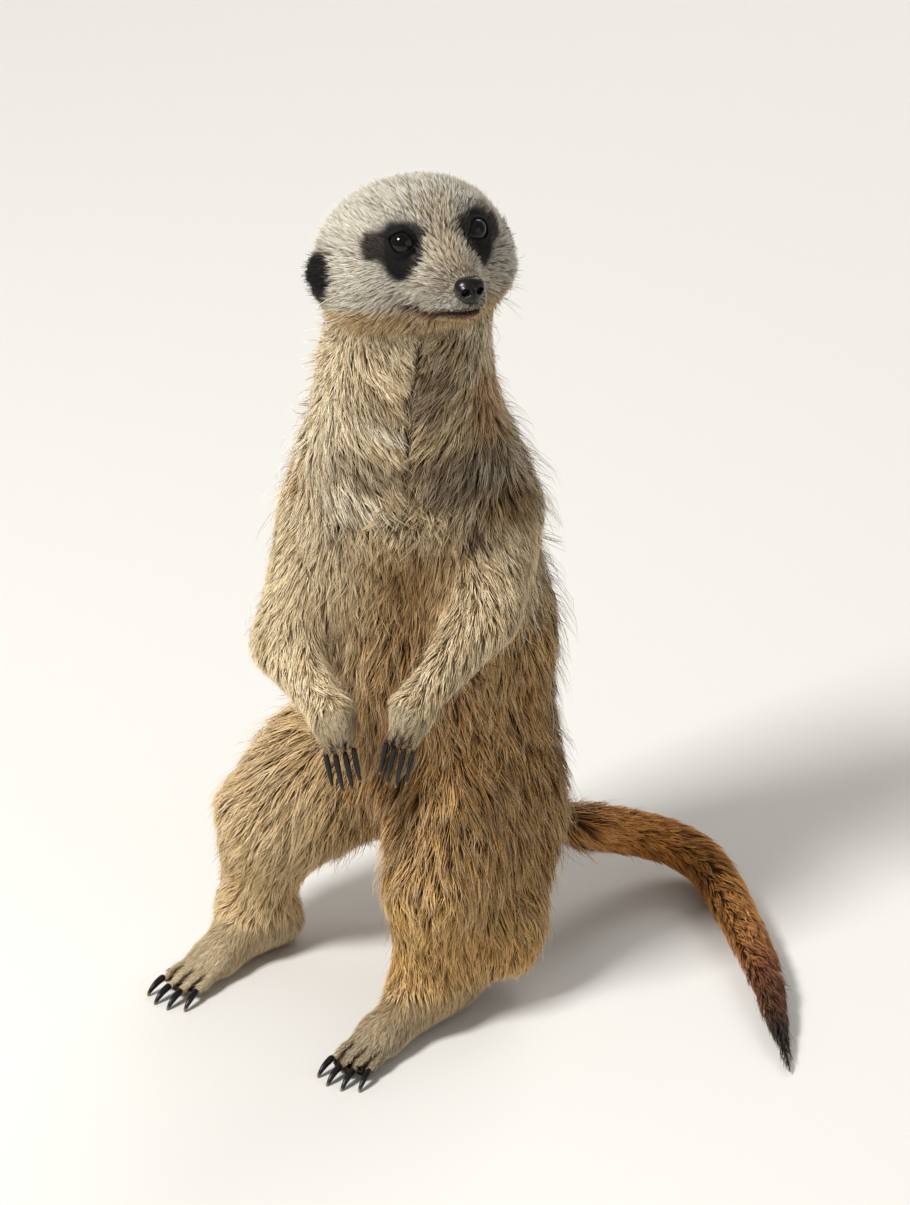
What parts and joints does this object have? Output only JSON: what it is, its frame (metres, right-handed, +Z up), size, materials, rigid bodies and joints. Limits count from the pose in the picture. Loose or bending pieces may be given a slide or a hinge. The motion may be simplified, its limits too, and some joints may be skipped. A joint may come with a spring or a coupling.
{
  "type": "meerkat",
  "caption": "Life-size meerkat half squatting upright on its hind feet, hands hanging before its belly, head turned aside and tail curled forward along the floor.",
  "frame": {"origin": "on the floor, under the middle of the bounding box", "axes": "+Z up, -Y the way the animal faces, +X to its left"},
  "size_m": [0.223, 0.154, 0.3046],
  "materials": {
    "body_fur": "grizzled brown fur with pale tips",
    "pale_fur": "short cream and grey fur, dark round the eyes",
    "limb_fur": "short golden cream fur",
    "tail_fur": "short ochre fur",
    "tail_tip_fur": "short dark brown fur",
    "ear_skin": "dark skin with short black hair",
    "nose_skin": "damp dark skin",
    "eye": "glossy dark brown",
    "claw": "smooth dark horn with paler tips"
  },
  "bodies": {
    "root": {"abdomen": "body_fur", "chest": "body_fur", "claw_foot_left_1": "claw", "claw_foot_left_2": "claw", "claw_foot_left_3": "claw", "claw_foot_left_4": "claw", "claw_foot_right_1": "claw", "claw_foot_right_2": "claw", "claw_foot_right_3": "claw", "claw_foot_right_4": "claw", "claw_hand_left_1": "claw", "claw_hand_left_2": "claw", "claw_hand_left_3": "claw", "claw_hand_left_4": "claw", "claw_hand_right_1": "claw", "claw_hand_right_2": "claw", "claw_hand_right_3": "claw", "claw_hand_right_4": "claw", "ear_left": "ear_skin", "ear_right": "ear_skin", "eye_left": "eye", "eye_right": "eye", "foot_left": "limb_fur", "foot_right": "limb_fur", "forearm_left": "limb_fur", "forearm_right": "limb_fur", "hand_left": "limb_fur", "hand_right": "limb_fur", "head": "pale_fur", "jaw": "pale_fur", "neck": "pale_fur", "nose": "nose_skin", "shank_left": "limb_fur", "shank_right": "limb_fur", "snout": "pale_fur", "tail_1": "tail_fur", "tail_2": "tail_fur", "tail_3": "tail_tip_fur", "thigh_left": "body_fur", "thigh_right": "body_fur", "upper_arm_left": "body_fur", "upper_arm_right": "body_fur"}
  },
  "joints": []
}
